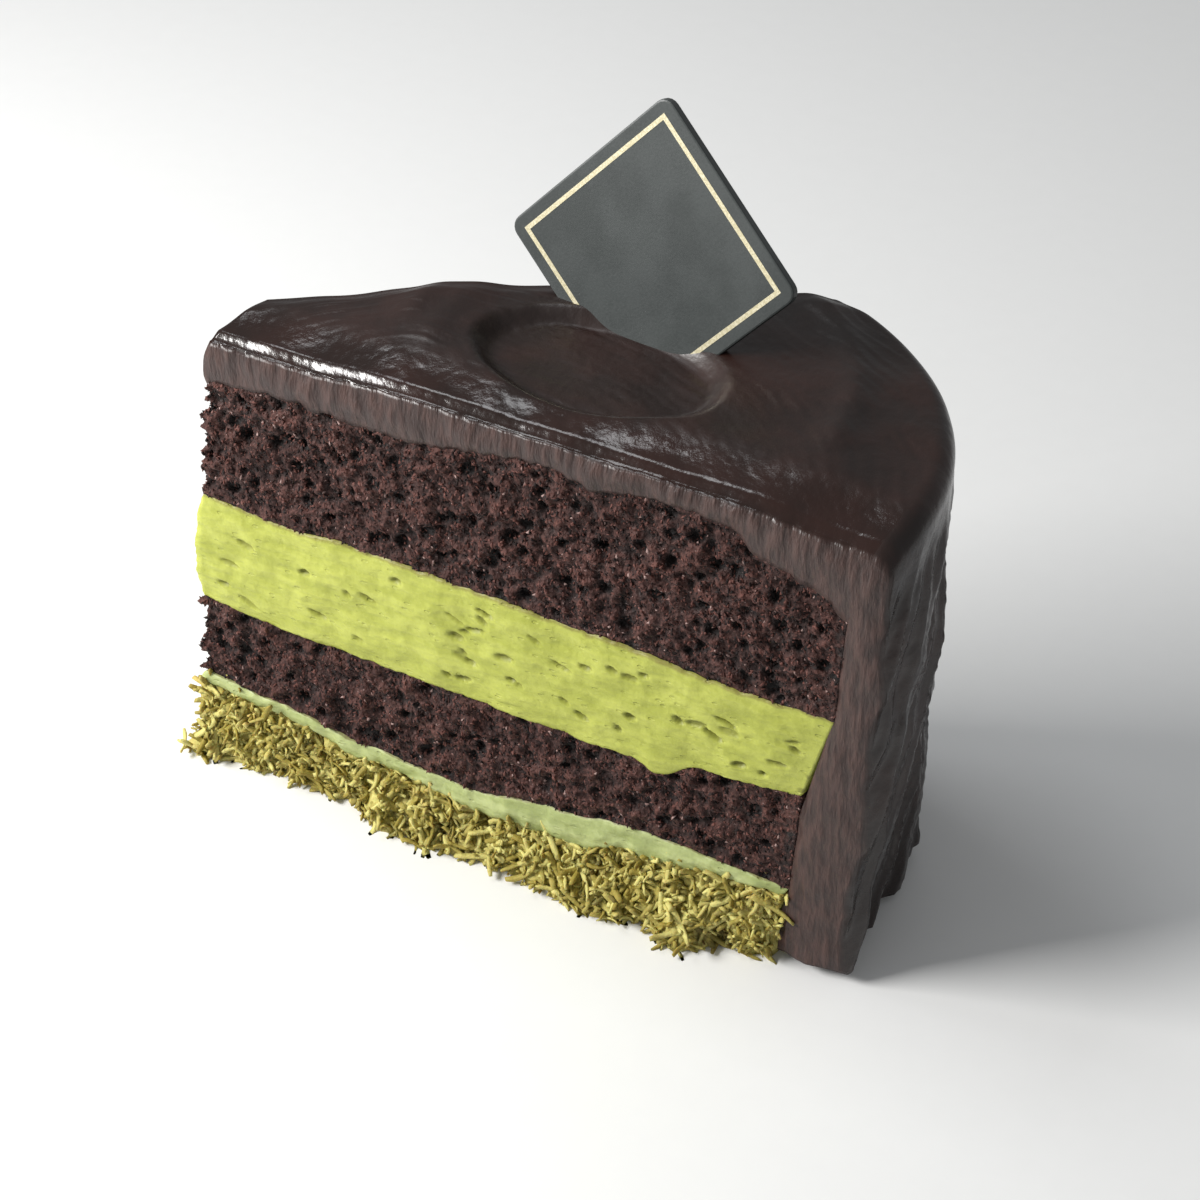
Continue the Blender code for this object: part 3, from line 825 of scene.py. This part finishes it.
def glazeFinish():
    finish = Finish("chocolateGlaze", Roughness=0.25, Specular_IOR_Level=0.5)
    cut = finish.drawn("cut")
    side = finish.drawn("side")
    bevel = finish.drawn("bevel")
    broad = finish.clouds(9.0, 3.0)
    fine = finish.clouds(0.9, 3.0, 0.6)
    drag = finish.clouds(1.6, 3.0, 0.55, finish.stretched((1.6, 1, 0.35), (0, 0.25, 0)))
    brown = finish.mixColour(finish.between(broad, 0.35, 0.7), (0.012, 0.0055, 0.004), (0.022, 0.0085, 0.006))
    cutBrown = finish.mixColour(finish.between(drag, 0.35, 0.7), (0.026, 0.011, 0.0085), (0.062, 0.03, 0.024))
    colour = finish.mixColour(cut, brown, cutBrown)
    gloss = 0.38 - 0.2 * bevel - 0.12 * side + 0.12 * (fine - 0.5)
    finish.feed(Base_Color=colour, Roughness=gloss * (1 - cut) + (0.42 + 0.2 * drag) * cut)
    finish.bump((broad, 0.5), (fine, 0.05), (drag * cut, 0.5))
    return finish.material


def makeGlaze(finish):
    length = glaze["topCells"] + glaze["rimCells"] + glaze["sideCells"]
    rows = smooth(np.linspace(0, 1, glaze["rows"])) * 0.35 + np.linspace(0, 1, glaze["rows"]) * 0.65
    p, v, w, faces = boxSurface(np.linspace(0, 1, length + 1), rows, np.linspace(0, 1, glaze["depthCells"] + 1))
    path = np.round(p * length)
    outside = glazeOutside(path, v)
    inside = glazeInside(path, v)
    points = inside + (outside - inside) * w[:, None]
    front = v < 0.0001
    tip = p < 0.0001
    across = np.sin(w * math.pi)
    lump = clouds(points, 6.0, 2)
    drag = clouds(points * [1, 1, 0.25], 1.8, 2, 3.0)
    points[front, 1] -= (0.5 * across * (1 + lump) + 0.22 * drag)[front]
    points[tip, 0] -= (0.6 * across)[tip]
    cut = ((front | (v > 0.9999)) & (w < 0.97)).astype(float)
    onTop = path <= glaze["topCells"]
    bevel = onTop * smooth((9 - points[:, 1]) / 5)
    side = smooth((path - glaze["topCells"]) / glaze["rimCells"])
    piece = makePiece("chocolateGlaze", points, faces, finish, {"cut": cut, "bevel": bevel, "side": side})
    dress(piece, "glaze", "glaze")
    return piece


# Plaque: the solid stays, with a satin finish and a thin border line

plaque = {
    "side": 30.2,
    "thickness": 1.4,
    "centre": np.array([50.3, 27.6, 85.9]),
    "turn": (math.radians(-4.5), math.radians(-16.4), math.radians(-4.4)),
    "lineInset": 1.7,
    "lineWidth": 0.62,
    "lineRise": 0.04,
}


def plaqueStand():
    turnZ, turnX, turnY = plaque["turn"]
    place = Vector((plaque["centre"] - [*cakePlan["footprintCentre"], 0]) * mm)
    return (Matrix.Translation(place) @ Matrix.Rotation(turnZ, 4, "Z") @ Matrix.Rotation(turnX, 4, "X")
            @ Matrix.Rotation(turnY + math.radians(45), 4, "Y"))


def plaqueFinish():
    finish = Finish("darkSatin", Roughness=0.38, Specular_IOR_Level=0.5)
    fine = finish.clouds(0.35, 3.0, 0.6)
    broad = finish.clouds(7.0, 2.0)
    colour = finish.mixColour(finish.between(broad + 0.3 * fine, 0.45, 0.85), (0.035, 0.041, 0.04), (0.05, 0.057, 0.056))
    finish.feed(Base_Color=colour, Roughness=0.36 + 0.16 * fine)
    finish.bump((fine, 0.02))
    return finish.material


def lineFinish():
    finish = Finish("goldLine", Roughness=0.4, Metallic=0.35)
    fine = finish.clouds(0.3, 3.0, 0.6)
    finish.feed(Base_Color=finish.mixColour(finish.between(fine, 0.4, 0.7), (0.62, 0.56, 0.36), (0.82, 0.76, 0.56)))
    finish.bump((fine, 0.015))
    return finish.material


def makePlaque():
    solid = bpy.data.objects[frame["nodes"]["plaque"].name] if hasattr(frame["nodes"], "keys") else None
    solid.data.materials.clear()
    solid.data.materials.append(plaqueFinish())
    outer = plaque["side"] / 2 - plaque["lineInset"]
    inner = outer - plaque["lineWidth"]
    front = -plaque["thickness"] / 2 - plaque["lineRise"]
    behind = -plaque["thickness"] / 2 + 0.1
    points = [(sx * reach, y, sz * reach) for y in (front, behind) for reach in (outer, inner)
              for sx, sz in ((-1, -1), (1, -1), (1, 1), (-1, 1))]
    faces = []
    for side in range(4):
        after = (side + 1) % 4
        faces.append((side, after, after + 4, side + 4))
        faces.append((side + 8, side + 12, after + 12, after + 8))
        faces.append((side, side + 8, after + 8, after))
        faces.append((side + 4, after + 4, after + 12, side + 12))
    stand = plaqueStand()
    mesh = bpy.data.meshes.new("borderLine")
    mesh.from_pydata([stand @ (Vector(point) * mm) for point in points], [], faces)
    mesh.materials.append(lineFinish())
    line = bpy.data.objects.new("borderLine", mesh)
    bpy.context.scene.collection.objects.link(line)
    dress(line, "plaque")


# Floor

def makeFloor():
    finish = Finish("paleFloor", Roughness=0.6)
    fine = finish.clouds(4.0, 2.0)
    finish.feed(Base_Color=finish.mixColour(fine, (0.84, 0.845, 0.84), (0.86, 0.865, 0.86)))
    mesh = bpy.data.meshes.new("floor")
    mesh.from_pydata([(-4, -4, 0), (4, -4, 0), (4, 4, 0), (-4, 4, 0)], [], [(0, 1, 2, 3)])
    mesh.materials.append(finish.material)
    floor = bpy.data.objects.new("floor", mesh)
    bpy.context.scene.collection.objects.link(floor)


makeCamera()
makeLights()
makeFloor()
print("camera, lights and floor")

spongeBrown = spongeFinish()
upperSponge = makeSponge("upperSponge", "upper_sponge", "creamTop", "glazeFloor", (300, 22, 84), spongeBrown)
lowerSponge = makeSponge("lowerSponge", "lower_sponge", "thinTop", "creamFoot", (300, 22, 60), spongeBrown)
makeSpongeCrumbs([("upperCrumbs", upperSponge, "upper_sponge"), ("lowerCrumbs", lowerSponge, "lower_sponge")],
                 crumbFinish())
print("sponge and its crumbs")

makeCream("greenCreamLayer", "cream", "green_cream", "creamFoot", "creamTop", (280, 20, 66), cream["bulge"], cream["relief"], 7.0,
          creamFinish("greenCream", (0.44, 0.47, 0.085), (0.34, 0.37, 0.05), (0.13, 0.08, 0.02)))
makeCream("paleCreamLayer", "thin_cream", "pale_cream", "thinFoot", "thinTop", (280, 20, 14), 0.3, 0.4, 5.0,
          creamFinish("paleCream", (0.42, 0.47, 0.2), (0.3, 0.35, 0.12), (0.16, 0.12, 0.04)), holes=False)
print("creams")

makeBase(crunchFinish())
print("base and its shreds")

makeGlaze(glazeFinish())
print("glaze")

makePlaque()
print("plaque")
